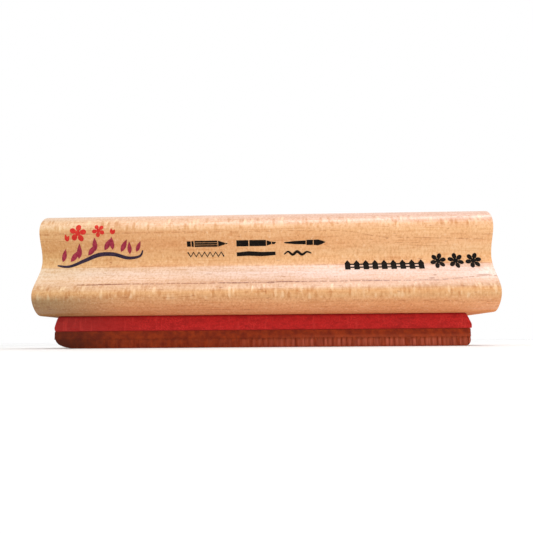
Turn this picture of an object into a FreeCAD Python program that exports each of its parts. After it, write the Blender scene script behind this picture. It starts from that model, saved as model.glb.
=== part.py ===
import FreeCAD, Part
import math
import os

os.makedirs("parts", exist_ok=True)
V = FreeCAD.Vector

# ---------------------------------------------------------------------------
# Wood-mounted rubber stamp, millimetres.
# Frame: +Z up, the stamp stands on its printing face at z = 0.  +X runs along
# the block, the printed long side faces -Y.  Origin: centre of the block's
# footprint, on the printing face.
# ---------------------------------------------------------------------------

# driving dimensions
BLOCK_L = 120.65          # 4 3/4 in
BLOCK_D = 38.1            # 1 1/2 in across the lower bulges
BLOCK_H = 27.83           # height of the moulding
DIE_X0, DIE_X1 = -57.10, 54.65      # die and cushion sit 1.2 mm off centre
DIE_Y = 11.25             # half depth of the die
RELIEF_H = 2.4            # depth of the moulded image
SHEET_T = 2.1             # rubber sheet behind the image
TAPE_T = 0.15             # double-sided film, above and below the cushion
FOAM_T = 3.9              # cushion
INK_T = 0.06              # printed ink film

Z_SHEET = RELIEF_H
Z_DTAPE = Z_SHEET + SHEET_T          # 4.5
Z_FOAM = Z_DTAPE + TAPE_T            # 4.65
Z_BTAPE = Z_FOAM + FOAM_T            # 8.55
Z_BLOCK = Z_BTAPE + TAPE_T           # 8.7
Z_TOP = Z_BLOCK + BLOCK_H            # 36.53
HL = BLOCK_L / 2.0
HD = BLOCK_D / 2.0

# Side profile of the moulding: (height above the block's bottom, set back
# from the plane of the lower bulge).  Sharp bottom corner, lower bulge,
# finger groove, rounded head, crown, flat top.
PROFILE = [
    (0.0, 4.35), (1.0, 2.88), (2.0, 1.60), (3.0, 0.72), (4.0, 0.18),
    (5.0, 0.0), (6.0, 0.15), (7.0, 0.68), (8.0, 1.42), (9.0, 2.27),
    (10.0, 3.12), (11.0, 3.94), (12.0, 4.68), (13.0, 5.26), (14.0, 5.62),
    (14.9, 5.73), (16.0, 5.60), (17.0, 5.30), (18.0, 4.88), (19.0, 4.37),
    (20.0, 3.86), (21.0, 3.41), (22.0, 3.10), (22.8, 3.0), (23.6, 3.08),
    (24.48, 3.42), (25.36, 4.08), (26.12, 4.98), (26.78, 6.10), (27.33, 7.50),
    (27.63, 9.0), (27.79, 10.6), (27.83, 12.2),
]


def side_points(grow):
    """Profile points of the front side as (y, z), moved outwards by grow."""
    pts = [(-HD + s, Z_BLOCK + z) for z, s in PROFILE]
    out = []
    n = len(pts)
    for i, (y, z) in enumerate(pts):
        a = pts[max(i - 1, 0)]
        b = pts[min(i + 1, n - 1)]
        ty, tz = b[0] - a[0], b[1] - a[1]
        ln = math.hypot(ty, tz)
        # outward normal of the front side points to -Y
        ny, nz = -tz / ln, ty / ln
        if i == n - 1:
            ny, nz = 0.0, 1.0
        out.append((y + ny * grow, z + nz * grow))
    return out


def moulding(grow=0.0, half_len=HL):
    """Closed moulding section extruded along X."""
    pts = side_points(grow)
    front = [V(-half_len, y, z) for y, z in pts]
    back = [V(-half_len, -y, z) for y, z in reversed(pts)]
    c1 = Part.BSplineCurve()
    c1.interpolate(Points=front, InitialTangent=front[1] - front[0],
                   FinalTangent=V(0, 1, 0))
    c2 = Part.BSplineCurve()
    c2.interpolate(Points=back, InitialTangent=V(0, 1, 0),
                   FinalTangent=back[-1] - back[-2])
    top = Part.makeLine(front[-1], back[0])
    bottom = Part.makeLine(back[-1], front[0])
    wire = Part.Wire([c1.toShape(), top, c2.toShape(), bottom])
    return Part.Face(wire).extrude(V(2 * half_len, 0, 0))


def slab(x0, x1, y0, y1, z0, z1):
    return Part.makeBox(x1 - x0, y1 - y0, z1 - z0, V(x0, y0, z0))


def rounded_rect(x0, x1, y0, y1, r, z):
    """Wire of a rectangle with rounded corners in a horizontal plane."""
    s = r * math.sqrt(0.5)
    e = []
    e.append(Part.makeLine(V(x0 + r, y0, z), V(x1 - r, y0, z)))
    e.append(Part.Arc(V(x1 - r, y0, z), V(x1 - r + s, y0 + r - s, z), V(x1, y0 + r, z)).toShape())
    e.append(Part.makeLine(V(x1, y0 + r, z), V(x1, y1 - r, z)))
    e.append(Part.Arc(V(x1, y1 - r, z), V(x1 - r + s, y1 - r + s, z), V(x1 - r, y1, z)).toShape())
    e.append(Part.makeLine(V(x1 - r, y1, z), V(x0 + r, y1, z)))
    e.append(Part.Arc(V(x0 + r, y1, z), V(x0 + r - s, y1 - r + s, z), V(x0, y1 - r, z)).toShape())
    e.append(Part.makeLine(V(x0, y1 - r, z), V(x0, y0 + r, z)))
    e.append(Part.Arc(V(x0, y0 + r, z), V(x0 + r - s, y0 + r - s, z), V(x0 + r, y0, z)).toShape())
    return Part.Wire(e)


# ---------------------------------------------------------------------------
# Flat art: every mark is a list of (u, v) corner points, optionally with
# hole outlines.  The same art is the raised image of the die (full size) and
# the index picture on top of the block (reduced).
# ---------------------------------------------------------------------------

def ellipse(cx, cy, a, b, ang, n=12):
    c, s = math.cos(ang), math.sin(ang)
    out = []
    for i in range(n):
        t = 2 * math.pi * i / n
        x, y = a * math.cos(t), b * math.sin(t)
        out.append((cx + x * c - y * s, cy + x * s + y * c))
    return out


def leaf(x, y, length, width, ang, n=6):
    """Pointed leaf from its stalk end (x, y)."""
    c, s = math.cos(ang), math.sin(ang)
    up, dn = [], []
    for i in range(1, n):
        t = i / n
        w = width / 2 * math.sin(math.pi * t ** 0.8)
        up.append((t * length, w))
        dn.append((t * length, -w))
    pts = [(0, 0)] + dn + [(length, 0)] + up[::-1]
    return [(x + p * c - q * s, y + p * s + q * c) for p, q in pts]


def stroke(points, widths):
    """Closed outline of a line drawn with a varying width."""
    n = len(points)
    left, right = [], []
    for i in range(n):
        a = points[max(i - 1, 0)]
        b = points[min(i + 1, n - 1)]
        dx, dy = b[0] - a[0], b[1] - a[1]
        ln = math.hypot(dx, dy)
        nx, ny = -dy / ln, dx / ln
        w = widths[i] / 2 if isinstance(widths, (list, tuple)) else widths / 2
        left.append((points[i][0] + nx * w, points[i][1] + ny * w))
        right.append((points[i][0] - nx * w, points[i][1] - ny * w))
    return right + left[::-1]


def smooth(points, k=6):
    """Catmull-Rom points through the given corner points."""
    out = []
    n = len(points)
    for i in range(n - 1):
        p0 = points[max(i - 1, 0)]
        p1, p2 = points[i], points[i + 1]
        p3 = points[min(i + 2, n - 1)]
        for j in range(k):
            t = j / k
            t2, t3 = t * t, t * t * t
            out.append(tuple(0.5 * ((2 * p1[d]) + (-p0[d] + p2[d]) * t
                       + (2 * p0[d] - 5 * p1[d] + 4 * p2[d] - p3[d]) * t2
                       + (-p0[d] + 3 * p1[d] - 3 * p2[d] + p3[d]) * t3) for d in (0, 1)))
    out.append(tuple(points[-1]))
    return out


def rect(x0, y0, x1, y1):
    return [(x0, y0), (x1, y0), (x1, y1), (x0, y1)]


class Rand:
    """Small repeatable number source for the uneven foliage."""
    def __init__(self, seed):
        self.s = seed

    def u(self, a=0.0, b=1.0):
        self.s = (self.s * 1103515245 + 12345) % 2147483648
        return a + (b - a) * self.s / 2147483648.0


PICKETS = 15
PICKET_X0, PICKET_PITCH, PICKET_W = -52.3, 7.28, 4.5
# flowers in front of the fence: (x, y, petal reach, petals)
FLOWERS = [
    (-51.0, -3.6, 2.5, 5), (-44.9, -0.4, 3.0, 6), (-38.6, -4.6, 2.2, 5),
    (-33.9, 3.9, 2.7, 6), (-29.8, -3.2, 2.8, 6), (-23.2, -5.0, 2.0, 5),
    (-18.7, 0.9, 3.0, 6), (-12.4, -4.3, 2.4, 5), (-7.9, 4.4, 2.5, 6),
    (-3.0, -2.4, 2.9, 6), (3.9, -5.0, 2.0, 5), (9.2, -0.2, 2.9, 6),
    (14.9, -4.6, 2.3, 5), (19.9, 4.2, 2.7, 6), (24.3, -3.0, 2.8, 6),
    (31.0, -5.0, 2.0, 5), (35.4, 1.0, 3.0, 6), (41.3, -4.4, 2.4, 5),
    (45.8, 3.2, 2.5, 6), (49.9, -3.2, 2.7, 5),
]


def foliage():
    """Border of leaves and grass along the front edge: one closed outline."""
    r = Rand(4711)
    x = DIE_X0 + 0.3
    end = DIE_X1 - 0.12
    front = []
    while x < end - 0.05:
        t = (x - DIE_X0) / (DIE_X1 - DIE_X0)
        deep = 0.10 + 0.36 * min(1.0, max(0.0, (t - 0.40) / 0.25)) * r.u(0.6, 1.1)
        w = r.u(1.0, 1.75)
        if end - x - w < 0.7:
            w = end - x
        y = -DIE_Y + 0.12 + r.u(0.0, 0.10)
        for f, g in ((0.0, 1.0), (0.07, 0.62), (0.18, 0.24), (0.34, 0.03), (0.5, 0.0),
                     (0.66, 0.03), (0.82, 0.24), (0.93, 0.62)):
            front.append((x + f * w, y + g * deep))
        x += w
    front.append((x, -DIE_Y + 0.6))
    back = []
    x = DIE_X0 + 0.4
    while x < end - 1.4:
        w = r.u(0.75, 1.35)
        h = r.u(0.5, 2.1)
        back.append((x, -8.5 + r.u(-0.25, 0.15)))
        back.append((x + w * r.u(0.3, 0.7), -8.3 + h))
        x += w
    back.append((end - 0.3, -8.5))
    return front + back[::-1]


def fence():
    """Picket and rail outlines: list of (outline, [holes])."""
    marks = []
    h = PICKET_W / 2
    for i in range(PICKETS):
        x = PICKET_X0 + i * PICKET_PITCH
        top = 10.35 + 0.25 * math.sin(i * 1.7)
        outer = [(x - h, -9.0), (x + h, -9.0), (x + h, top - 2.7), (x, top), (x - h, top - 2.7)]
        inner = [(x - h + 0.7, -8.3), (x + h - 0.7, -8.3), (x + h - 0.7, top - 2.95),
                 (x, top - 1.05), (x - h + 0.7, top - 2.95)]
        marks.append((outer, [inner]))
        if i < PICKETS - 1:
            x1 = x + h - 0.2
            x2 = x + PICKET_PITCH - h + 0.2
            for y in (-5.2, -2.9, 3.6, 5.7):
                marks.append((rect(x1, y, x2, y + 0.6), []))
    return marks


def grain_lines():
    r = Rand(99)
    marks = []
    for i in range(PICKETS):
        x = PICKET_X0 + i * PICKET_PITCH
        for k in (-0.75, 0.7):
            y = r.u(-6.5, 3.0)
            ln = r.u(1.6, 3.6)
            marks.append((rect(x + k - 0.19, y, x + k + 0.19, min(y + ln, 6.3)), []))
    return marks


def flower_marks(x, y, reach, petals, turn):
    out = []
    for k in range(petals):
        a = turn + 2 * math.pi * k / petals
        d = reach * 0.62
        out.append((ellipse(x + d * math.cos(a), y + d * math.sin(a), reach * 0.37,
                            reach * 0.27 if petals > 5 else reach * 0.31, a, 12), []))
    out.append((ellipse(x, y, reach * 0.30, reach * 0.30, 0, 12), []))
    return out


def stems():
    marks = []
    for i, (x, y, reach, n) in enumerate(FLOWERS):
        y1 = y - reach * 0.86
        if y1 > -8.3:
            bend = 0.5 * math.sin(i * 2.3)
            pts = smooth([(x, y1 + 0.25), (x + bend, (y1 - 8.7) / 2), (x - bend * 0.4, -8.9)], 4)
            marks.append((stroke(pts, 0.55), []))
            if y > -4.0:
                yy = (y1 - 8.7) / 2
                marks.append((leaf(x + bend * 0.8, yy - 0.4, 2.0, 0.95, math.radians(38)), []))
                marks.append((leaf(x + bend * 0.8, yy - 1.3, 1.9, 0.9, math.radians(142)), []))
    return marks


def flat(outline, holes):
    """Flat face of a mark in the plane z = 0."""
    def wire(pts):
        v = [V(p[0], p[1], 0) for p in pts]
        return Part.makePolygon(v + [v[0]])
    if not holes:
        return Part.Face(wire(outline))
    f = Part.Face([wire(outline)] + [wire(q) for q in holes])
    f.validate()
    return f


def fuse_all(shapes):
    return shapes[0].multiFuse(shapes[1:]) if len(shapes) > 1 else shapes[0]


def merged(faces):
    """Join faces that share an edge into one face each."""
    parent = list(range(len(faces)))

    def find(k):
        while parent[k] != k:
            parent[k] = parent[parent[k]]
            k = parent[k]
        return k

    seen = {}
    for k, f in enumerate(faces):
        for e in f.Edges:
            c = e.CenterOfMass
            key = (round(c.x, 4), round(c.y, 4), round(e.Length, 4))
            if key in seen:
                parent[find(k)] = find(seen[key])
            else:
                seen[key] = k
    groups = {}
    for k, f in enumerate(faces):
        groups.setdefault(find(k), []).append(f)
    out = []
    for g in groups.values():
        out += g if len(g) == 1 else Part.Shell(g).removeSplitter().Faces
    return out


def picture():
    """The whole image as flat faces."""
    behind = fuse_all([flat(o, q) for o, q in fence() + grain_lines()])
    # the flowers stand in front of the fence: clear it round each of them
    behind = behind.cut(fuse_all([flat(ellipse(x, y, r + 0.35, r + 0.35, 0, 20), [])
                                  for x, y, r, n in FLOWERS]))
    front = []
    for i, (x, y, r, n) in enumerate(FLOWERS):
        front += [flat(o, q) for o, q in flower_marks(x, y, r, n, 0.4 + i)]
    front += [flat(o, q) for o, q in stems()]
    front.append(flat(foliage(), []))
    return merged(behind.multiFuse(front).Faces)


# ---------------------------------------------------------------------------
# Wood block
# ---------------------------------------------------------------------------
block = moulding()
assert block.isValid() and len(block.Solids) == 1

# ---------------------------------------------------------------------------
# Adhesive films and foam cushion.  The cushion is knife-cut with its sides
# leaning, so it is a little narrower where it meets the wood.
# ---------------------------------------------------------------------------
die_tape = Part.Face(rounded_rect(DIE_X0 + 0.15, DIE_X1 - 0.15, -DIE_Y + 0.15, DIE_Y - 0.15, 0.5,
                                  Z_DTAPE)).extrude(V(0, 0, TAPE_T))
foam = Part.makeLoft([
    rounded_rect(DIE_X0 - 0.18, DIE_X1 + 0.40, -DIE_Y, DIE_Y, 0.6, Z_FOAM),
    rounded_rect(DIE_X0 + 0.56, DIE_X1 - 0.85, -DIE_Y + 0.35, DIE_Y - 0.35, 0.6, Z_BTAPE),
], True, True)
block_tape = Part.Face(rounded_rect(DIE_X0 + 0.76, DIE_X1 - 1.05, -DIE_Y + 0.55, DIE_Y - 0.55, 0.5,
                                    Z_BTAPE)).extrude(V(0, 0, TAPE_T))

# ---------------------------------------------------------------------------
# Rubber die: sheet with the raised image.  The image is rounded off at its
# left end and chamfered at its right end.
# ---------------------------------------------------------------------------
sheet = Part.Face(rounded_rect(DIE_X0, DIE_X1, -DIE_Y, DIE_Y, 0.6, Z_SHEET)).extrude(V(0, 0, SHEET_T))
art = picture()
relief = [f.extrude(V(0, 0, RELIEF_H + 0.5)) for f in art]

# end envelope of the image, seen along Y
x0, x1 = DIE_X0 + 0.3, DIE_X1 - 0.1
env_pts = [V(x0, -20, RELIEF_H + 0.6)]
for dx, z in ((0.35, 2.4), (0.5, 2.12), (0.8, 1.62), (1.35, 1.10), (1.9, 0.80), (2.5, 0.55),
              (3.4, 0.29), (4.5, 0.10), (5.6, 0.0)):
    env_pts.append(V(DIE_X0 + dx, -20, z))
env_pts += [V(x1 - 1.25, -20, 0.0), V(x1 - 0.75, -20, 0.22), V(x1 - 0.3, -20, 0.75),
            V(x1 - 0.06, -20, 1.5), V(x1, -20, RELIEF_H + 0.6)]
envelope = Part.Face(Part.makePolygon(env_pts + [env_pts[0]])).extrude(V(0, 40, 0))
relief = [r if r.BoundBox.XMin > x0 + 5.4 and r.BoundBox.XMax < x1 - 1.3 else r.common(envelope)
          for r in relief]
die = sheet.multiFuse(relief)
die = die.removeSplitter()
if len(die.Solids) == 1:
    die = die.Solids[0]
print("die", die.ShapeType, die.isValid(), len(die.Solids), round(die.Volume, 1))

# ---------------------------------------------------------------------------
# Ink films on the front side: thin conformal films on the moulded surface.
# Marks are drawn in the (x, height above the block's bottom) plane.
# ---------------------------------------------------------------------------
film = moulding(INK_T, HL - 0.5).cut(block)
film_front = film.common(slab(-HL, HL, -HD - 1, -2.0, Z_BLOCK + 6, Z_BLOCK + 26.5))


def side_print(marks):
    """Films for marks given as (outline, holes) in (x, z above the bottom)."""
    tools = []
    for o, holes in marks:
        def wire(pts):
            v = [V(p[0], -HD - 2, Z_BLOCK + p[1]) for p in pts]
            return Part.makePolygon(v + [v[0]])
        f = Part.Face([wire(o)] + [wire(q) for q in holes]) if holes else Part.Face(wire(o))
        if holes:
            f.validate()
        s = f.extrude(V(0, 12, 0))
        if s.Volume < 0:
            s.reverse()
        tools.append(s)
    tool = fuse_all(tools) if len(tools) > 1 else tools[0]
    return film_front.common(tool)


# sprig: stem, leaves, blossoms
stem_line = smooth([(-55.9, 13.6), (-52.6, 13.3), (-48.6, 14.9), (-44.6, 16.4), (-40.6, 16.5),
                    (-36.8, 15.5), (-33.6, 15.9), (-32.6, 17.4)], 6)
nst = len(stem_line)
stem_w = [0.32 + 0.72 * math.sin(math.pi * (i / (nst - 1)) ** 0.85) for i in range(nst)]
stem_marks = [(stroke(stem_line, stem_w), [])]

leaf_marks = []
for x, z, ln, w, ang in ((-54.6, 14.6, 3.6, 1.25, 74), (-52.4, 14.6, 3.9, 1.35, 52),
                         (-50.2, 15.4, 4.0, 1.4, 82), (-47.6, 16.3, 3.7, 1.3, 47),
                         (-45.6, 17.4, 3.4, 1.3, 86), (-43.0, 17.6, 3.6, 1.3, 55),
                         (-40.8, 17.7, 3.3, 1.2, 90), (-38.6, 17.1, 3.7, 1.25, 58),
                         (-36.2, 16.5, 3.2, 1.15, 88), (-34.4, 17.1, 3.0, 1.05, 62)):
    leaf_marks.append((leaf(x, z, ln, w, math.radians(ang)), []))

blossom_marks = []
for x, z, r, n, turn in ((-49.8, 22.0, 2.35, 5, 0.2), (-44.2, 22.6, 1.75, 5, 0.8)):
    for o, q in flower_marks(x, z, r, n, turn):
        blossom_marks.append((o, q))
for x, z, ln, ang in ((-52.9, 19.9, 1.9, 100), (-53.0, 19.9, 1.7, 62), (-40.6, 21.6, 1.6, 96),
                      (-40.5, 21.6, 1.5, 58)):
    blossom_marks.append((leaf(x, z, ln, 0.85, math.radians(ang)), []))


def tool_icons(kind, x, z):
    """Black silhouettes of drawing tools, 11 mm long, 1.5 mm high."""
    if kind == "pencil":
        m = [rect(0, 0.1, 1.0, 1.4), rect(1.25, 0.05, 1.8, 1.45), rect(2.05, 0, 8.2, 0.42),
             rect(2.05, 0.54, 8.2, 0.96), rect(2.05, 1.08, 8.2, 1.5),
             [(8.4, 0.0), (10.2, 0.57), (10.2, 0.93), (8.4, 1.5)], [(10.35, 0.55), (11.0, 0.75), (10.35, 0.95)]]
    elif kind == "marker":
        m = [rect(0, 0, 3.2, 1.5), rect(3.45, 0.0, 7.9, 1.5),
             [(8.1, 0.1), (9.3, 0.45), (9.3, 1.05), (8.1, 1.4)], [(9.5, 0.45), (10.2, 0.45), (10.6, 0.95), (9.5, 1.05)]]
    else:
        m = [[(0, 0.62), (3.0, 0.35), (5.7, 0.28), (5.7, 1.22), (3.0, 1.15), (0, 0.88)],
             rect(5.9, 0.12, 7.6, 1.38),
             [(7.8, 0.1), (9.0, -0.02), (10.0, 0.3), (11.0, 0.8), (10.0, 1.15), (9.0, 1.42), (7.8, 1.4)]]
    return [([(x + u, z + v) for u, v in o], []) for o in m]


tip_marks = tool_icons("pencil", -20.5, 18.1) + tool_icons("marker", -7.2, 18.1) + tool_icons("brush", 5.6, 18.1)
zig = [(-20.4 + 0.75 * i, 15.55 if i % 2 else 16.75) for i in range(14)]
tip_marks.append((stroke(zig, 0.34), []))
tip_marks.append((stroke([(-7.2, 16.05), (-4.0, 16.25), (-0.5, 16.05), (3.2, 16.2)], [1.0, 1.15, 1.1, 0.9]), []))
wav = smooth([(5.5, 15.9), (6.6, 16.6), (7.8, 15.8), (9.0, 16.6), (10.3, 15.8), (11.6, 16.5), (12.8, 16.1)], 5)
tip_marks.append((stroke(wav, [0.25 + 0.45 * math.sin(math.pi * i / (len(wav) - 1)) for i in range(len(wav))]), []))

title_marks = []
for i in range(9):
    x = 22.3 + i * 2.42
    title_marks.append(([(x - 0.72, 11.45), (x + 0.72, 11.45), (x + 0.72, 13.25), (x, 14.1), (x - 0.72, 13.25)], []))
    if i < 8:
        for z in (11.9, 12.75):
            title_marks.append((rect(x + 0.6, z, x + 1.82, z + 0.36), []))
flower_row = []
for i, x in enumerate((46.2, 50.8, 55.4)):
    for o, q in flower_marks(x, 13.6, 2.15, 6, 0.25 + 0.5 * i):
        flower_row.append((o, q))

prints = {
    "emblem_stem_print": side_print(stem_marks),
    "emblem_leaf_print": side_print(leaf_marks),
    "emblem_blossom_print": side_print(blossom_marks),
    "tip_print": side_print(tip_marks),
    "fence_print": side_print(title_marks),
    "flower_row_print": side_print(flower_row),
}

# index picture on the flat top, reduced
INDEX_SCALE = 0.60
small = [f.scaled(INDEX_SCALE) for f in art]
index_print = Part.makeCompound([f.translated(V(0, 0, Z_TOP)).extrude(V(0, 0, INK_T)) for f in small])

nodes = {
    "wood_block": block,
    "block_adhesive": block_tape,
    "foam_cushion": foam,
    "die_adhesive": die_tape,
    "rubber_die": die,
    "index_print": index_print,
}
nodes.update(prints)

for name, shape in nodes.items():
    solids = shape.Solids
    bad = [s for s in solids if not s.isValid() or s.Volume <= 0]
    out = solids[0] if len(solids) == 1 else Part.makeCompound(solids)
    out.exportStep("parts/" + name + ".step")
    b = out.BoundBox
    print("%-22s solids %3d bad %d vol %9.2f  x %.2f..%.2f y %.2f..%.2f z %.2f..%.2f" % (
        name, len(solids), len(bad), out.Volume, b.XMin, b.XMax, b.YMin, b.YMax, b.ZMin, b.ZMax))
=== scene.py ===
import bpy, bmesh, math, random
import numpy as np
from mathutils import Vector, Matrix, noise


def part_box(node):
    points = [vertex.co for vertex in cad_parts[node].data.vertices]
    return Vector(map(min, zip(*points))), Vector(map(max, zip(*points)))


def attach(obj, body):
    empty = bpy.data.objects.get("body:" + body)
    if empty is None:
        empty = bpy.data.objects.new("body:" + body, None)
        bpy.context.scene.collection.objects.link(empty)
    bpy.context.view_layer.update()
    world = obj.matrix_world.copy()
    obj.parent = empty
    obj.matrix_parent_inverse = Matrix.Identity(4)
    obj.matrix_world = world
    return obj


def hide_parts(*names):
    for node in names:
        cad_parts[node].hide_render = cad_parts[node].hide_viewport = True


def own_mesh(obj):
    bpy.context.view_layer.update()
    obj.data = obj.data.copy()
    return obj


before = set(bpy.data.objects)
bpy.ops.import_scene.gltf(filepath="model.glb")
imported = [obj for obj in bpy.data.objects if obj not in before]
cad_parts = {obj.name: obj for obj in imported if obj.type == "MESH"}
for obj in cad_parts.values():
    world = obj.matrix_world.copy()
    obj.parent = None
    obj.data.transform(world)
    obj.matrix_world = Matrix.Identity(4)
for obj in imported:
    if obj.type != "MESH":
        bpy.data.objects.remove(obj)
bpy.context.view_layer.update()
MM = 0.001

# ---------------------------------------------------------------------------
# camera, floor, lights
# ---------------------------------------------------------------------------
def look_matrix(pos, yaw, pitch, roll):
    cy, sy = math.cos(yaw), math.sin(yaw)
    fwd = Vector((-sy, cy, 0)); right = Vector((cy, sy, 0)); up = Vector((0, 0, 1))
    cp, sp = math.cos(pitch), math.sin(pitch)
    fwd2 = fwd * cp + up * sp
    up2 = up * cp - fwd * sp
    cr, sr = math.cos(roll), math.sin(roll)
    r3 = right * cr + up2 * sr
    u3 = up2 * cr - right * sr
    m = Matrix((
        (r3.x, u3.x, -fwd2.x, pos[0]),
        (r3.y, u3.y, -fwd2.y, pos[1]),
        (r3.z, u3.z, -fwd2.z, pos[2]),
        (0, 0, 0, 1)))
    return m


cam_data = bpy.data.cameras.new("view_camera")
cam_data.sensor_width = 36.0
cam_data.lens = 36.0 * 558.0 / 533.0
cam_data.clip_start = 0.004
cam_data.clip_end = 50.0
cam = bpy.data.objects.new("view_camera", cam_data)
bpy.context.scene.collection.objects.link(cam)
cam.matrix_world = look_matrix((6.05 * MM, -161.34 * MM, 1.63 * MM),
                               math.radians(2.05), math.radians(7.60), math.radians(-0.45))
bpy.context.scene.camera = cam


def node_material(name):
    m = bpy.data.materials.new(name)
    m.use_nodes = True
    nt = m.node_tree
    nt.nodes.clear()
    out = nt.nodes.new("ShaderNodeOutputMaterial")
    bsdf = nt.nodes.new("ShaderNodeBsdfPrincipled")
    nt.links.new(bsdf.outputs[0], out.inputs[0])
    return m, nt, bsdf


class N:
    """Small helper that builds node graphs."""
    def __init__(self, nt):
        self.nt = nt

    def new(self, kind, **kw):
        n = self.nt.nodes.new(kind)
        for k, v in kw.items():
            setattr(n, k, v)
        return n

    def link(self, a, b):
        self.nt.links.new(a, b)

    def put(self, sock, v):
        if isinstance(v, (int, float)):
            sock.default_value = v
        elif isinstance(v, (tuple, list)):
            sock.default_value = v
        else:
            self.link(v, sock)

    def math(self, op, a, b=None, c=None, clamp=False):
        n = self.new("ShaderNodeMath", operation=op, use_clamp=clamp)
        self.put(n.inputs[0], a)
        if b is not None:
            self.put(n.inputs[1], b)
        if c is not None:
            self.put(n.inputs[2], c)
        return n.outputs[0]

    def vec(self, x, y, z):
        n = self.new("ShaderNodeCombineXYZ")
        self.put(n.inputs[0], x); self.put(n.inputs[1], y); self.put(n.inputs[2], z)
        return n.outputs[0]

    def coords_mm(self):
        tc = self.new("ShaderNodeTexCoord")
        s = self.new("ShaderNodeVectorMath", operation="SCALE")
        self.link(tc.outputs["Object"], s.inputs[0])
        s.inputs["Scale"].default_value = 1000.0
        sep = self.new("ShaderNodeSeparateXYZ")
        self.link(s.outputs[0], sep.inputs[0])
        return s.outputs[0], sep.outputs[0], sep.outputs[1], sep.outputs[2]

    def noise(self, vec, scale=1.0, detail=3.0, rough=0.5, distortion=0.0):
        n = self.new("ShaderNodeTexNoise")
        self.link(vec, n.inputs["Vector"])
        n.inputs["Scale"].default_value = scale
        n.inputs["Detail"].default_value = detail
        n.inputs["Roughness"].default_value = rough
        n.inputs["Distortion"].default_value = distortion
        return n.outputs["Fac"]

    def voronoi(self, vec, scale=1.0, feature="F1", out="Distance", rand=1.0):
        n = self.new("ShaderNodeTexVoronoi", feature=feature)
        self.link(vec, n.inputs["Vector"])
        n.inputs["Scale"].default_value = scale
        n.inputs["Randomness"].default_value = rand
        return n.outputs[out]

    def ramp(self, fac, stops, interp="LINEAR"):
        n = self.new("ShaderNodeValToRGB")
        n.color_ramp.interpolation = interp
        el = n.color_ramp.elements
        el[0].position, el[0].color = stops[0][0], stops[0][1]
        el[1].position, el[1].color = stops[-1][0], stops[-1][1]
        for p, c in stops[1:-1]:
            e = el.new(p)
            e.color = c
        self.link(fac, n.inputs[0])
        return n.outputs[0]

    def smooth(self, v, lo, hi, a=0.0, b=1.0):
        n = self.new("ShaderNodeMapRange", interpolation_type="SMOOTHSTEP")
        self.put(n.inputs["Value"], v)
        n.inputs["From Min"].default_value = lo
        n.inputs["From Max"].default_value = hi
        n.inputs["To Min"].default_value = a
        n.inputs["To Max"].default_value = b
        return n.outputs[0]

    def mix(self, fac, a, b, blend="MIX"):
        n = self.new("ShaderNodeMix", data_type="RGBA", blend_type=blend)
        self.put(n.inputs[0], fac)
        for sock, v in ((n.inputs[6], a), (n.inputs[7], b)):
            self.put(sock, v)
        return n.outputs[2]

    def bump(self, height, strength, distance, normal=None):
        n = self.new("ShaderNodeBump")
        self.put(n.inputs["Strength"], strength)
        n.inputs["Distance"].default_value = distance
        self.link(height, n.inputs["Height"])
        if normal is not None:
            self.link(normal, n.inputs["Normal"])
        return n.outputs[0]


def lin(r, g, b):
    def f(c):
        c /= 255.0
        return c / 12.92 if c <= 0.04045 else ((c + 0.055) / 1.055) ** 2.4
    return (f(r), f(g), f(b), 1.0)


# pale floor
floor_mesh = bpy.data.meshes.new("floor")
floor_mesh.from_pydata([(-4, -4, 0), (4, -4, 0), (4, 4, 0), (-4, 4, 0)], [], [(0, 1, 2, 3)])
floor = bpy.data.objects.new("floor", floor_mesh)
bpy.context.scene.collection.objects.link(floor)
fm, fnt, fb = node_material("pale_floor")
g = N(fnt)
P, X, Y, Z = g.coords_mm()
fl = g.noise(P, 0.06, 3, 0.5)
far = g.smooth(g.math("SQRT", g.math("ADD", g.math("MULTIPLY", X, X), g.math("MULTIPLY", Y, Y))), 160.0, 700.0)
near_col = g.mix(fl, (0.70, 0.70, 0.70, 1), (0.73, 0.73, 0.725, 1))
g.link(g.mix(far, near_col, (0.93, 0.93, 0.93, 1)), fb.inputs["Base Color"])
fb.inputs["Roughness"].default_value = 0.75
floor_mesh.materials.append(fm)

# world: an even pale studio
world = bpy.data.worlds.new("studio")
bpy.context.scene.world = world
world.use_nodes = True
wn = world.node_tree
wn.nodes.clear()
wo = wn.nodes.new("ShaderNodeOutputWorld")
wb = wn.nodes.new("ShaderNodeBackground")
wb.inputs[0].default_value = (1.0, 1.0, 1.0, 1)
wb.inputs[1].default_value = 1.0
wn.links.new(wb.outputs[0], wo.inputs[0])


def area(name, loc, target, size, power, color=(1, 1, 1)):
    d = bpy.data.lights.new(name, "AREA")
    d.shape = "RECTANGLE"
    d.size, d.size_y = size
    d.energy = power
    d.color = color
    o = bpy.data.objects.new(name, d)
    bpy.context.scene.collection.objects.link(o)
    o.location = loc
    o.rotation_euler = (Vector(target) - Vector(loc)).to_track_quat("-Z", "Y").to_euler()
    return o


area("key_light", (0.12, -0.12, 0.52), (0, 0, 0.02), (0.6, 0.13), 1.8, (1.0, 0.99, 0.98))

sc = bpy.context.scene
sc.view_settings.view_transform = "Standard"
sc.view_settings.look = "None"
sc.view_settings.exposure = 0.0
sc.view_settings.gamma = 1.0

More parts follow.
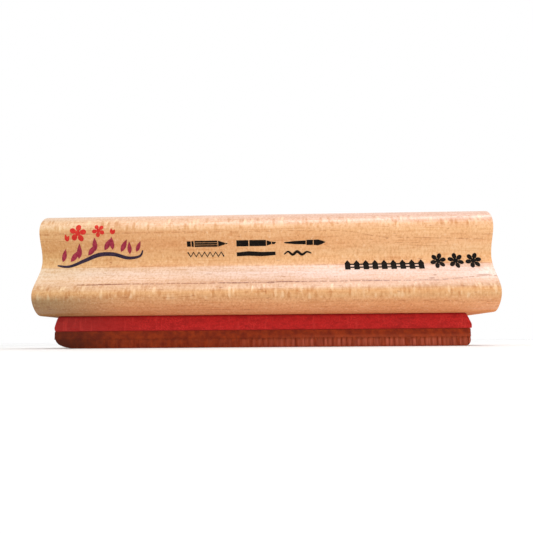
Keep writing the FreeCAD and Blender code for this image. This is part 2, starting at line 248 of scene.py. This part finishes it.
# ---------------------------------------------------------------------------
# wood block: the moulding's section swept along X with eased end edges
# ---------------------------------------------------------------------------
HL, HD, ZB = 60.325, 19.05, 8.7
PROFILE = [
    (0.0, 4.35), (1.0, 2.88), (2.0, 1.60), (3.0, 0.72), (4.0, 0.18),
    (5.0, 0.0), (6.0, 0.15), (7.0, 0.68), (8.0, 1.42), (9.0, 2.27),
    (10.0, 3.12), (11.0, 3.94), (12.0, 4.68), (13.0, 5.26), (14.0, 5.62),
    (14.9, 5.73), (16.0, 5.60), (17.0, 5.30), (18.0, 4.88), (19.0, 4.37),
    (20.0, 3.86), (21.0, 3.41), (22.0, 3.10), (22.8, 3.0), (23.6, 3.08),
    (24.48, 3.42), (25.36, 4.08), (26.12, 4.98), (26.78, 6.10), (27.33, 7.50),
    (27.63, 9.0), (27.79, 10.6), (27.83, 12.2),
]


def clamped_spline(pts, t0, t1, per=6):
    """C2 cubic through the points, chord-length parameter, given end tangents."""
    p = np.array(pts, float)
    d = np.linalg.norm(np.diff(p, axis=0), axis=1)
    n = len(p)
    t0 = np.array(t0, float) / np.linalg.norm(t0)
    t1 = np.array(t1, float) / np.linalg.norm(t1)
    A = np.zeros((n, n)); B = np.zeros((n, 2))
    A[0, 0] = 1; B[0] = t0
    A[-1, -1] = 1; B[-1] = t1
    for i in range(1, n - 1):
        h0, h1 = d[i - 1], d[i]
        A[i, i - 1] = h1
        A[i, i] = 2 * (h0 + h1)
        A[i, i + 1] = h0
        B[i] = 3 * (h1 * (p[i] - p[i - 1]) / h0 + h0 * (p[i + 1] - p[i]) / h1)
    M = np.linalg.solve(A, B)
    out = []
    for i in range(n - 1):
        h = d[i]
        for k in range(per):
            u = k / per
            h00 = 2 * u ** 3 - 3 * u ** 2 + 1
            h10 = u ** 3 - 2 * u ** 2 + u
            h01 = -2 * u ** 3 + 3 * u ** 2
            h11 = u ** 3 - u ** 2
            out.append(h00 * p[i] + h10 * h * M[i] + h01 * p[i + 1] + h11 * h * M[i + 1])
    out.append(p[-1])
    return np.array(out)


side = [(-HD + s, ZB + z) for z, s in PROFILE]
front = clamped_spline(side, (side[1][0] - side[0][0], side[1][1] - side[0][1]), (1, 0), 5)
# ease the bottom corner of each side
corner = front[0].copy()
tl = 1.8
acc = 0.0
cut = 1
while np.linalg.norm(front[cut] - corner) < tl:
    cut += 1
pa = corner + (front[cut] - corner) / np.linalg.norm(front[cut] - corner) * tl
pb = corner + np.array([tl, 0.0])
eased = [(1 - u) ** 2 * pb + 2 * u * (1 - u) * corner + u * u * pa for u in np.linspace(0, 1, 7)]
front = np.array(eased + list(front[cut:]) if np.linalg.norm(front[cut] - pa) > 0.05 else eased + list(front[cut + 1:]))
section = [tuple(q) for q in front]                       # bottom front corner up to the top
section += [(y, z) for y, z in
            [(-6.85 + (13.7) * k / 12.0, ZB + 27.83) for k in range(1, 12)]]
section += [(-y, z) for y, z in front[::-1]]
nb = 12
y_a, y_b = -front[0][0], front[0][0]
section += [(y_a + (y_b - y_a) * k / nb, ZB) for k in range(1, nb)]
section = np.array(section)
ns = len(section)


def inset_section(d):
    """The section moved inwards by d along its own normals."""
    a = np.roll(section, 1, axis=0)
    b = np.roll(section, -1, axis=0)
    e1 = section - a
    e2 = b - section
    e1 /= np.linalg.norm(e1, axis=1)[:, None]
    e2 /= np.linalg.norm(e2, axis=1)[:, None]
    # the section runs up the front side: inward is to the right of travel
    n1 = np.stack([e1[:, 1], -e1[:, 0]], 1)
    n2 = np.stack([e2[:, 1], -e2[:, 0]], 1)
    n = n1 + n2
    n /= np.maximum(0.35, (n * n).sum(1) / 2)[:, None] ** 1.0
    return section + n * d


ease = 0.18
steps = 5
left = [(-HL + ease * (1 - math.cos(math.pi / 2 * k / steps)), ease * (1 - math.sin(math.pi / 2 * k / steps)))
        for k in range(steps + 1)]
mid = [(-HL + ease + (2 * HL - 2 * ease) * k / 60.0, 0.0) for k in range(1, 60)]
right = [(-x, d) for x, d in left[::-1]]
rings = left + mid + right

bm = bmesh.new()
vr = []
for x, d in rings:
    sec = inset_section(d) if d > 1e-9 else section
    vr.append([bm.verts.new((x * MM, q[0] * MM, q[1] * MM)) for q in sec])
for i in range(len(vr) - 1):
    for j in range(ns):
        k = (j + 1) % ns
        f = bm.faces.new((vr[i][j], vr[i][k], vr[i + 1][k], vr[i + 1][j]))
        f.smooth = True
bm.faces.new(vr[0][::-1])
bm.faces.new(vr[-1])
bmesh.ops.recalc_face_normals(bm, faces=bm.faces)
me = bpy.data.meshes.new("maple_block")
bm.to_mesh(me)
bm.free()
wood = bpy.data.objects.new("maple_block", me)
bpy.context.scene.collection.objects.link(wood)


def sharp_by_angle(mesh, deg):
    """Marks edges sharper than the angle, so smooth shading keeps them crisp."""
    b = bmesh.new()
    b.from_mesh(mesh)
    for f in b.faces:
        f.smooth = True
    for e in b.edges:
        e.smooth = not (len(e.link_faces) != 2 or e.calc_face_angle(0) > math.radians(deg))
    b.to_mesh(mesh)
    b.free()


sharp_by_angle(me, 32)

wm_, nt, bs = node_material("maple")
g = N(nt)
P, X, Y, Z = g.coords_mm()
zr = g.math("SUBTRACT", Z, ZB)
nrm = g.new("ShaderNodeNewGeometry")
sepn = g.new("ShaderNodeSeparateXYZ")
g.link(nrm.outputs["Normal"], sepn.inputs[0])
endm = g.smooth(g.math("ABSOLUTE", sepn.outputs[0]), 0.55, 0.93)
under = g.smooth(sepn.outputs[2], -0.86, -0.97)


def aniso(sx, sy, sz, ox=0.0):
    return g.vec(g.math("ADD", g.math("MULTIPLY", X, sx), ox), g.math("MULTIPLY", Y, sy), g.math("MULTIPLY", Z, sz))


def mul(c, fac, dark, light=(1, 1, 1, 1)):
    """Multiply the colour by a ramp between dark (fac 1) and light (fac 0)."""
    return g.mix(1.0, c, g.mix(fac, light, dark), "MULTIPLY")


wander = g.math("SUBTRACT", g.noise(aniso(0.018, 0.03, 0.03), 1.0, 2, 0.5), 0.5)
# growth rings, arcs about a centre below and behind the block
ry = g.math("ADD", Y, 34.0)
rz = g.math("ADD", Z, 46.0)
rad = g.math("SQRT", g.math("ADD", g.math("MULTIPLY", ry, ry), g.math("MULTIPLY", rz, rz)))
rad = g.math("ADD", rad, g.math("MULTIPLY", wander, 7.0))
ring_n = g.noise(g.vec(0.0, 0.0, rad), 0.85, 3, 0.6)
# tone zones of the moulding: a painted pinkish highlight on the upper faces of the lower bulge and the head
mottle = g.noise(aniso(0.05, 0.25, 0.25), 1.0, 3, 0.55)
zw = g.math("ADD", zr, g.math("MULTIPLY", g.math("SUBTRACT", mottle, 0.5), 0.9))
sheen_low = g.math("MULTIPLY", g.smooth(zw, 7.2, 9.2), g.smooth(zw, 13.25, 12.75))
sheen_top = g.smooth(zw, 24.2, 25.4)
pale = g.math("MAXIMUM", sheen_low, sheen_top)
xr = g.smooth(X, -60.0, 45.0)
# tone by height, set to the lit look: the paler pinkish bands on the upward faces are painted highlight, the underside
# near 4 mm is painted darker and the bottom lighter, and the right half of the groove is painted lighter than the left
LIT_TONES = [
    # height, left half, right half
    (0.0, (234, 162, 116), (242, 170, 118)),
    (2.0, (226, 160, 108), (238, 169, 114)),
    (4.3, (214, 156, 102), (228, 176, 120)),
    (5.6, (220, 168, 114), (230, 176, 120)),
    (6.6, (216, 171, 130), (209, 165, 130)),
    (7.8, (221, 181, 150), (208, 162, 132)),
    (9.0, (231, 196, 169), (216, 179, 162)),
    (11.0, (232, 205, 185), (230, 201, 193)),
    (12.75, (234, 200, 168), (236, 196, 176)),
    (13.15, (236, 186, 132), (240, 186, 136)),
    (15.0, (229, 176, 117), (246, 191, 134)),
    (16.6, (228, 173, 113), (250, 202, 149)),
    (18.6, (226, 167, 107), (247, 192, 137)),
    (21.8, (227, 171, 115), (246, 193, 138)),
    (22.7, (231, 180, 128), (250, 201, 155)),
    (23.4, (235, 193, 153), (250, 204, 163)),
    (24.0, (234, 192, 157), (241, 195, 168)),
    (24.8, (232, 192, 158), (218, 174, 153)),
    (25.4, (225, 187, 155), (212, 173, 154)),
    (26.0, (214, 176, 145), (209, 169, 151)),
    (27.83, (208, 168, 142), (205, 165, 145)),
]
hz = g.math("DIVIDE", zw, 28.0)
base = g.mix(xr, g.ramp(hz, [(q / 28.0, lin(*c)) for q, c, _ in LIT_TONES]),
             g.ramp(hz, [(q / 28.0, lin(*c)) for q, _, c in LIT_TONES]))
# slow blotches and long soft bands
band = g.noise(aniso(0.010, 0.5, 0.5), 1.0, 3, 0.6)
base = mul(base, g.smooth(band, 0.45, 0.66, 0.0, 0.75), (0.93, 0.87, 0.80, 1))
blot = g.noise(aniso(0.07, 0.16, 0.16, 9.0), 1.0, 3, 0.55)
base = mul(base, g.smooth(blot, 0.46, 0.66), (0.95, 0.90, 0.83, 1))
# long fine fibres
fib = g.noise(aniso(0.11, 2.9, 2.9), 1.0, 4, 0.66)
base = mul(base, g.smooth(fib, 0.49, 0.66), (0.90, 0.81, 0.70, 1))
# thin growth lines that come and go along the block
lines = g.noise(aniso(0.035, 2.0, 2.0, 31.0), 1.0, 2, 0.5)
gaps = g.smooth(g.noise(aniso(0.55, 1.0, 1.0, 3.0), 1.0, 2, 0.5), 0.40, 0.56)
lines = g.math("MULTIPLY", g.smooth(lines, 0.63, 0.69), gaps)
base = mul(base, g.math("MULTIPLY", lines, 0.9), (0.80, 0.67, 0.53, 1))
# long growth lines of the printed side: on the lower bulge, at the foot of the
# groove and on the head, each broken up along its length
printed = g.smooth(Y, 0.0, -1.0)
lw = g.math("ADD", zr, g.math("MULTIPLY", g.math("SUBTRACT", g.noise(g.vec(g.math("MULTIPLY", X, 0.07), 0.0, 5.0), 1.0, 3, 0.6), 0.5), 0.8))


def long_line(height, half, breaks, lo, hi, dark):
    """Thin line at a height (value or node), broken up by noise along X."""
    global base
    m_ = g.math("MULTIPLY", g.smooth(g.math("ABSOLUTE", g.math("SUBTRACT", lw, height)), half, half * 0.35), printed)
    m_ = g.math("MULTIPLY", m_, g.smooth(g.noise(g.vec(g.math("MULTIPLY", X, breaks), 0.0, height * 1.0 if isinstance(height, float) else 2.0), 1.0, 2, 0.6), lo, hi))
    base = mul(base, m_, dark)


long_line(g.math("ADD", g.smooth(X, -30.0, 30.0, 7.9, 8.15), g.math("ADD", g.smooth(X, 44.0, 58.0, 0.0, 1.0), g.smooth(X, -49.0, -50.0, 0.0, -20.0))),
          0.22, 0.8, 0.38, 0.52, (0.60, 0.45, 0.35, 1))
long_line(12.95, 0.16, 0.30, 0.40, 0.54, (0.80, 0.66, 0.54, 1))
long_line(g.math("ADD", g.smooth(X, 18.0, 34.0, 21.8, 19.9), g.smooth(X, 30.0, 58.0, 0.0, -0.7)), 0.20, 0.45, 0.42, 0.56, (0.78, 0.65, 0.52, 1))
long_line(g.math("ADD", g.smooth(X, -60.0, 60.0, 4.5, 2.7), 0.0), 0.17, 0.35, 0.48, 0.60, (0.84, 0.72, 0.60, 1))
# a few dark mineral dashes: centre X, height, half length, half width
for mx, mz, ma, mb in ((29.0, 8.25, 3.0, 0.15), (43.5, 8.7, 0.8, 0.22), (57.0, 9.5, 1.9, 0.19),
                       (2.0, 8.0, 1.0, 0.30), (6.5, 8.1, 4.0, 0.13), (-41.5, 7.8, 4.6, 0.15),
                       (-8.0, 8.0, 3.8, 0.14), (52.0, 25.0, 0.8, 0.16), (44.5, 9.6, 0.5, 0.16)):
    ex = g.math("DIVIDE", g.math("SUBTRACT", X, mx), ma)
    ez = g.math("DIVIDE", g.math("SUBTRACT", lw, mz), mb)
    em = g.math("ADD", g.math("MULTIPLY", ex, ex), g.math("MULTIPLY", ez, ez))
    base = mul(base, g.math("MULTIPLY", g.smooth(em, 1.5, 0.5), printed), (0.58, 0.42, 0.33, 1))
# short dark dashes
dash = g.noise(aniso(0.42, 2.3, 2.3, 17.0), 1.0, 1, 0.5)
dash = g.smooth(dash, 0.715, 0.765)
base = mul(base, g.math("MULTIPLY", dash, 0.9), (0.66, 0.50, 0.38, 1))
# fine speckle, a little upright
spk = g.noise(aniso(1.9, 2.0, 1.15), 1.0, 3, 0.7)
base = mul(base, g.smooth(spk, 0.45, 0.66), (0.87, 0.77, 0.65, 1))
base = g.mix(g.smooth(spk, 0.42, 0.30, 0.0, 0.34), base, lin(252, 222, 188))
# short upright flecks scattered over the groove
spk2 = g.noise(aniso(1.5, 1.2, 0.42, 44.0), 1.0, 2, 0.6)
base = mul(base, g.math("MULTIPLY", g.smooth(spk2, 0.56, 0.70), g.smooth(pale, 1.0, 0.0, 0.15, 0.8)), (0.90, 0.80, 0.68, 1))
# ray flecks: upright dashes, in rows on the crowns of the moulding
cellv = g.new("ShaderNodeTexVoronoi", feature="F1")
g.link(aniso(1.02, 0.34, 0.36), cellv.inputs["Vector"])
cellv.inputs["Scale"].default_value = 1.0
sepc = g.new("ShaderNodeSeparateColor")
g.link(cellv.outputs["Color"], sepc.inputs[0])
core = g.smooth(cellv.outputs["Distance"], 0.62, 0.22)
dark_f = g.math("MULTIPLY", g.smooth(sepc.outputs[0], 0.44, 0.58), core)
lite_f = g.math("MULTIPLY", g.smooth(sepc.outputs[0], 0.38, 0.22), core)
zf = g.math("ADD", zr, g.math("MULTIPLY", g.math("SUBTRACT", g.noise(aniso(0.45, 0.4, 0.0, 2.0), 1.0, 2, 0.5), 0.5), 2.2))
head_row = g.math("MULTIPLY", g.smooth(zf, 22.2, 23.2), g.smooth(zf, 26.2, 25.2))
low_row = g.math("MULTIPLY", g.smooth(zf, 3.3, 4.3), g.smooth(zf, 7.9, 6.9))
grv_row = g.math("MULTIPLY", g.math("MULTIPLY", g.smooth(zf, 11.5, 12.8), g.smooth(zf, 16.6, 15.0)), 0.35)
rows = g.math("MAXIMUM", g.math("MAXIMUM", head_row, low_row), grv_row)
broken = g.smooth(g.noise(aniso(0.10, 0.15, 0.10, 6.0), 1.0, 2, 0.5), 0.32, 0.52, 0.45, 1.0)
rows = g.math("MULTIPLY", rows, broken)
base = mul(base, g.math("MULTIPLY", dark_f, rows), (0.82, 0.68, 0.50, 1))
base = g.mix(g.math("MULTIPLY", g.math("MULTIPLY", lite_f, rows), 0.40), base, lin(252, 220, 178))

# painted shade at the left end, strongest low down, and an olive tint along the left end
left_end_shade_tint = g.smooth(X, -32.0, -60.0)
base = mul(base, g.math("MULTIPLY", left_end_shade_tint, g.smooth(zr, 5.6, 3.1)), (0.52, 0.60, 0.56, 1))
base = mul(base, left_end_shade_tint, (0.93, 0.985, 0.94, 1))

# end grain: darker, with pores and saw marks
pores = g.smooth(g.voronoi(aniso(0.2, 1.0, 1.0), 3.6), 0.20, 0.10)
ends = g.mix(g.smooth(ring_n, 0.44, 0.66), lin(214, 161, 112), lin(190, 135, 88))
ends = g.mix(g.math("MULTIPLY", pores, 0.45), ends, lin(128, 82, 48))
sawn = g.noise(aniso(1.0, 0.12, 2.0), 1.3, 3, 0.6)
ends = g.mix(g.smooth(sawn, 0.45, 0.7, 0.0, 0.25), ends, lin(228, 180, 134))
base = g.mix(endm, base, ends)
g.link(base, bs.inputs["Base Color"])
bare = g.math("MAXIMUM", under, g.math("MULTIPLY", endm, 0.6))
rough = g.math("ADD", g.math("MULTIPLY", fib, 0.16), 0.34)
rough = g.math("ADD", rough, g.math("MULTIPLY", bare, 0.45), clamp=True)
g.link(rough, bs.inputs["Roughness"])
g.link(g.math("SUBTRACT", 0.45, g.math("MULTIPLY", bare, 0.42)), bs.inputs["Specular IOR Level"])
g.link(g.math("SUBTRACT", 0.35, g.math("MULTIPLY", bare, 0.35)), bs.inputs["Coat Weight"])
bs.inputs["Coat Roughness"].default_value = 0.24
hgt = g.math("SUBTRACT", g.math("MULTIPLY", fib, 0.7), g.math("ADD", g.math("MULTIPLY", dash, 0.8), g.math("MULTIPLY", spk, 0.35)))
b1 = g.bump(hgt, 0.40, 0.00007)
hg2 = g.math("ADD", g.math("MULTIPLY", g.math("SUBTRACT", 1.0, pores), endm), g.math("MULTIPLY", g.math("MULTIPLY", sawn, endm), 1.2))
b2 = g.bump(hg2, 0.5, 0.00008, b1)
g.link(b2, bs.inputs["Normal"])
me.materials.append(wm_)
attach(wood, "block")
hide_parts("wood_block")

# ---------------------------------------------------------------------------
# foam cushion
# ---------------------------------------------------------------------------
lo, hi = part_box("foam_cushion")
rnd = random.Random(5)


def rr_outline(x0, x1, y0, y1, r, step):
    """Points of a rounded rectangle, evenly stepped, counter-clockwise."""
    pts = []

    def seg(ax, ay, bx, by):
        n = max(1, int(round(math.hypot(bx - ax, by - ay) / step)))
        for i in range(n):
            pts.append((ax + (bx - ax) * i / n, ay + (by - ay) * i / n))

    def arc(cx, cy, a0):
        n = 6
        for i in range(n):
            a = a0 + math.pi / 2 * i / n
            pts.append((cx + r * math.cos(a), cy + r * math.sin(a)))
    seg(x0 + r, y0, x1 - r, y0); arc(x1 - r, y0 + r, -math.pi / 2)
    seg(x1, y0 + r, x1, y1 - r); arc(x1 - r, y1 - r, 0)
    seg(x1 - r, y1, x0 + r, y1); arc(x0 + r, y1 - r, math.pi / 2)
    seg(x0, y1 - r, x0, y0 + r); arc(x0 + r, y0 + r, math.pi)
    return pts


fx0, fx1, fy0, fy1 = lo.x / MM, hi.x / MM, lo.y / MM, hi.y / MM
fz0, fz1 = lo.z / MM, hi.z / MM
outl = rr_outline(fx0, fx1, fy0, fy1, 0.6, 0.40)
cx, cy = (fx0 + fx1) / 2, (fy0 + fy1) / 2
bm = bmesh.new()
levels = 16
loops = []
for k in range(levels + 1):
    t = k / levels
    z = fz0 + (fz1 - fz0) * t
    loop = []
    for (x, y) in outl:
        # the sides lean in towards the wood, more at the right end
        tuck = 0.20 * (max(0.0, 0.28 - t) / 0.28) ** 2
        up = max(0.0, (t - 0.22) / 0.78)
        lean_x = (1.28 * up ** 1.25 + 0.4 * tuck) if x > cx else (0.85 * up ** 1.2 + tuck)
        lean_y = 0.38 * up ** 1.3 + 0.6 * tuck
        wx = (x - cx) / ((fx1 - fx0) / 2)
        wy = (y - cy) / ((fy1 - fy0) / 2)
        nx = math.copysign(min(1, max(0, (abs(wx) - 0.965) / 0.03)), wx)
        ny = math.copysign(min(1, max(0, (abs(wy) - 0.86) / 0.12)), wy)
        # knife-cut waviness and open cells
        w = 0.05 * noise.noise(Vector((x * 0.11, y * 0.11, z * 0.5))) \
            + 0.035 * noise.noise(Vector((x * 1.3, y * 1.3, z * 1.6 + 7)))
        edge = 0.06 * (1 - min(1, min(t, 1 - t) / 0.07)) ** 2
        q = lean_y + edge - w
        qx = lean_x + edge - w
        loop.append(bm.verts.new(((x - nx * max(0.0, qx)) * MM, (y - ny * max(0.0, q)) * MM, z * MM)))
    loops.append(loop)
no = len(outl)
for k in range(levels):
    for j in range(no):
        jj = (j + 1) % no
        f = bm.faces.new((loops[k][j], loops[k][jj], loops[k + 1][jj], loops[k + 1][j]))
        f.smooth = True
bm.faces.new(loops[0][::-1])
bm.faces.new(loops[-1])
bmesh.ops.recalc_face_normals(bm, faces=bm.faces)
fme = bpy.data.meshes.new("cushion_foam")
bm.to_mesh(fme); bm.free()
sharp_by_angle(fme, 50)
foam = bpy.data.objects.new("cushion_foam", fme)
bpy.context.scene.collection.objects.link(foam)

m, nt, bs = node_material("crimson_foam")
g = N(nt)
P, X, Y, Z = g.coords_mm()


def aniso(sx, sy, sz, ox=0.0):
    return g.vec(g.math("ADD", g.math("MULTIPLY", X, sx), ox), g.math("MULTIPLY", Y, sy), g.math("MULTIPLY", Z, sz))


cells = g.voronoi(P, 5.5)
cellc = g.smooth(cells, 0.05, 0.55)
grain = g.noise(P, 2.6, 4, 0.65)
slow = g.noise(P, 0.10, 2, 0.5)
col = g.mix(g.smooth(grain, 0.35, 0.68), lin(180, 26, 24), lin(220, 50, 46))
col = g.mix(g.smooth(slow, 0.35, 0.65, 0.0, 0.5), col, lin(204, 34, 32))
col = g.mix(g.math("MULTIPLY", g.smooth(X, -24.0, -56.0), 0.68), col, lin(158, 46, 40))
# broad dull patches and knife streaks
patch = g.noise(aniso(0.35, 0.35, 0.9), 1.0, 3, 0.6)
col = g.mix(g.smooth(patch, 0.46, 0.64, 0.0, 0.55), col, lin(166, 22, 20))
knife = g.noise(aniso(1.4, 1.4, 0.12), 1.0, 2, 0.5)
col = g.mix(g.smooth(knife, 0.56, 0.70, 0.0, 0.30), col, lin(226, 66, 58))
# worn, slightly greyed cells where the cushion is handled
speck = g.smooth(g.noise(P, 6.0, 2, 0.5), 0.68, 0.76)
col = g.mix(g.math("MULTIPLY", speck, 0.30), col, lin(226, 100, 90))
col = g.mix(g.math("MULTIPLY", g.math("SUBTRACT", 1.0, cellc), 0.25), col, lin(120, 10, 10))
# painted shade where it tucks in under the wood
col = g.mix(g.smooth(Z, 7.9, 8.5, 0.0, 0.55), col, lin(150, 10, 8))
g.link(col, bs.inputs["Base Color"])
bs.inputs["Roughness"].default_value = 0.82
bs.inputs["Specular IOR Level"].default_value = 0.25
bs.inputs["Sheen Weight"].default_value = 0.12
bs.inputs["Sheen Roughness"].default_value = 0.5
bs.inputs["Subsurface Weight"].default_value = 0.0
hh = g.math("ADD", g.math("MULTIPLY", cellc, 0.6), g.math("MULTIPLY", grain, 0.8))
g.link(g.bump(hh, 0.6, 0.00008), bs.inputs["Normal"])
fme.materials.append(m)
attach(foam, "block")
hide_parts("foam_cushion")
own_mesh(foam)

# ---------------------------------------------------------------------------
# rubber die: the moulded sheet with softened edges
# ---------------------------------------------------------------------------
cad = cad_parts["rubber_die"]
dme = cad.data.copy()
dme.name = "moulded_die"
dme.materials.clear()
bm = bmesh.new()
bm.from_mesh(dme)
bmesh.ops.remove_doubles(bm, verts=bm.verts, dist=2e-6)
bmesh.ops.dissolve_limit(bm, angle_limit=math.radians(1.0), verts=bm.verts, edges=bm.edges)
for v in bm.verts:
    if v.co.y < -0.01060 and v.co.z < 0.0023:
        v.co.y = -0.01108 + (v.co.y + 0.01108) * 0.24
bmesh.ops.recalc_face_normals(bm, faces=bm.faces)
sharp = [e for e in bm.edges if len(e.link_faces) == 2 and e.calc_face_angle(0) > math.radians(50)
         and (e.verts[0].co.z < 0.0001 and e.verts[1].co.z < 0.0001
              or e.verts[0].co.z > 0.0044 and e.verts[1].co.z > 0.0044)]
bmesh.ops.bevel(bm, geom=sharp, offset=0.00005, segments=2, profile=0.5, affect="EDGES", clamp_overlap=False)
bmesh.ops.dissolve_degenerate(bm, dist=2e-6, edges=bm.edges)
for v in bm.verts:
    v.co.z = min(max(v.co.z, 0.0), 0.0045)
for f in bm.faces:
    f.smooth = True
bm.to_mesh(dme); bm.free()
sharp_by_angle(dme, 35)
die = bpy.data.objects.new("moulded_die", dme)
bpy.context.scene.collection.objects.link(die)

m, nt, bs = node_material("red_brown_rubber")
g = N(nt)
P, X, Y, Z = g.coords_mm()
mot = g.noise(P, 0.55, 4, 0.6)
fine = g.noise(P, 5.0, 3, 0.6)
streak = g.noise(g.vec(g.math("MULTIPLY", X, 1.0), g.math("MULTIPLY", Y, 1.0), g.math("MULTIPLY", Z, 0.15)), 0.9, 3, 0.6)
col = g.mix(g.smooth(mot, 0.32, 0.70), lin(122, 35, 8), lin(160, 58, 18))
col = g.mix(g.smooth(fine, 0.5, 0.75, 0.0, 0.35), col, lin(172, 76, 38))
# raised image: a little paler, partly from ink and wear and partly painted highlight, most on its outermost edges
rel = g.smooth(Z, 2.6, 2.0)
col = g.mix(g.math("MULTIPLY", rel, g.math("MULTIPLY", g.smooth(X, -20.0, 20.0, 0.3, 1.0), g.smooth(streak, 0.42, 0.62, 0.1, 0.6))), col, lin(184, 86, 54))
# painted pinkish highlight on the crowns of the leaf border, towards the right
crown_highlight = g.math("MULTIPLY", g.smooth(Y, -11.02, -11.08, 0.45, 1.0), g.smooth(Z, 2.35, 1.7))
crown_highlight = g.math("MULTIPLY", g.math("MULTIPLY", crown_highlight, g.smooth(Z, 0.1, 0.9, 0.55, 1.0)), g.smooth(X, -15.0, 15.0))
blotch = g.noise(g.vec(g.math("MULTIPLY", X, 0.62), 0.0, 3.0), 1.0, 2, 0.5)
col = g.mix(g.math("MULTIPLY", crown_highlight, g.smooth(blotch, 0.42, 0.56, 0.08, 0.78)), col, lin(206, 106, 80))
# painted highlight on the relief's upper band towards the right
col = g.mix(g.math("MULTIPLY", g.smooth(X, -10.0, 20.0, 0.0, 0.30), g.math("MULTIPLY", g.smooth(Z, 3.5, 2.7), g.smooth(Z, 1.9, 2.3))), col, lin(196, 92, 58))
# the left end is darker, most low down
col = g.mix(g.math("MULTIPLY", g.smooth(X, -34.0, -57.5, 0.0, 0.88), g.smooth(Z, 3.4, 1.2, 0.72, 1.0)), col, lin(66, 27, 13))
# painted shade: darker along the bottom edge of the printing face
col = g.mix(g.smooth(Z, 0.30, 0.0, 0.0, 0.35), col, lin(88, 34, 22))
g.link(col, bs.inputs["Base Color"])
g.link(g.math("ADD", g.math("MULTIPLY", mot, 0.22), 0.46), bs.inputs["Roughness"])
bs.inputs["Specular IOR Level"].default_value = 0.13
g.link(g.bump(g.math("ADD", fine, mot), 0.25, 0.00006), bs.inputs["Normal"])
dme.materials.append(m)
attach(die, "die")
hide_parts("rubber_die")


# ---------------------------------------------------------------------------
# carried CAD nodes: adhesive films and printed ink
# ---------------------------------------------------------------------------
def film_material(name, c1, c2, rough, spec=0.4, scale=1.2):
    m, nt, bs = node_material(name)
    g = N(nt)
    P, X, Y, Z = g.coords_mm()
    n1 = g.noise(P, scale, 4, 0.6)
    n2 = g.noise(g.vec(g.math("MULTIPLY", X, 0.25), Y, Z), 7.0, 3, 0.6)
    col = g.mix(g.smooth(n1, 0.35, 0.65), c1, c2)
    col = g.mix(g.math("MULTIPLY", g.smooth(n2, 0.60, 0.78), 0.35), col, tuple(min(1.0, q * 1.0 + 0.12) for q in c2[:3]) + (1.0,))
    g.link(col, bs.inputs["Base Color"])
    g.link(g.math("ADD", g.math("MULTIPLY", n1, 0.15), rough - 0.07), bs.inputs["Roughness"])
    bs.inputs["Specular IOR Level"].default_value = spec
    g.link(g.bump(n2, 0.2, 0.00003), bs.inputs["Normal"])
    return m


def dress(node, mat):
    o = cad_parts[node]
    if len(o.material_slots) == 0:
        o.data.materials.append(mat)
    for s in o.material_slots:
        s.material = mat


dress("block_adhesive", film_material("adhesive_film_upper", lin(128, 22, 16), lin(146, 34, 26), 0.6, 0.1))
dress("die_adhesive", film_material("adhesive_film_lower", lin(122, 30, 18), lin(142, 40, 26), 0.6, 0.1))
black = film_material("black_ink", lin(14, 11, 9), lin(26, 20, 15), 0.6, 0.08)
navy = film_material("navy_ink", lin(38, 28, 46), lin(62, 46, 66), 0.55, 0.12)
plum = film_material("plum_ink", lin(140, 34, 58), lin(168, 58, 76), 0.55, 0.12)
red = film_material("red_ink", lin(198, 38, 34), lin(214, 60, 46), 0.55, 0.12)
for n in ("tip_print", "fence_print", "flower_row_print", "index_print"):
    dress(n, black)
dress("emblem_stem_print", navy)
dress("emblem_leaf_print", plum)
dress("emblem_blossom_print", red)
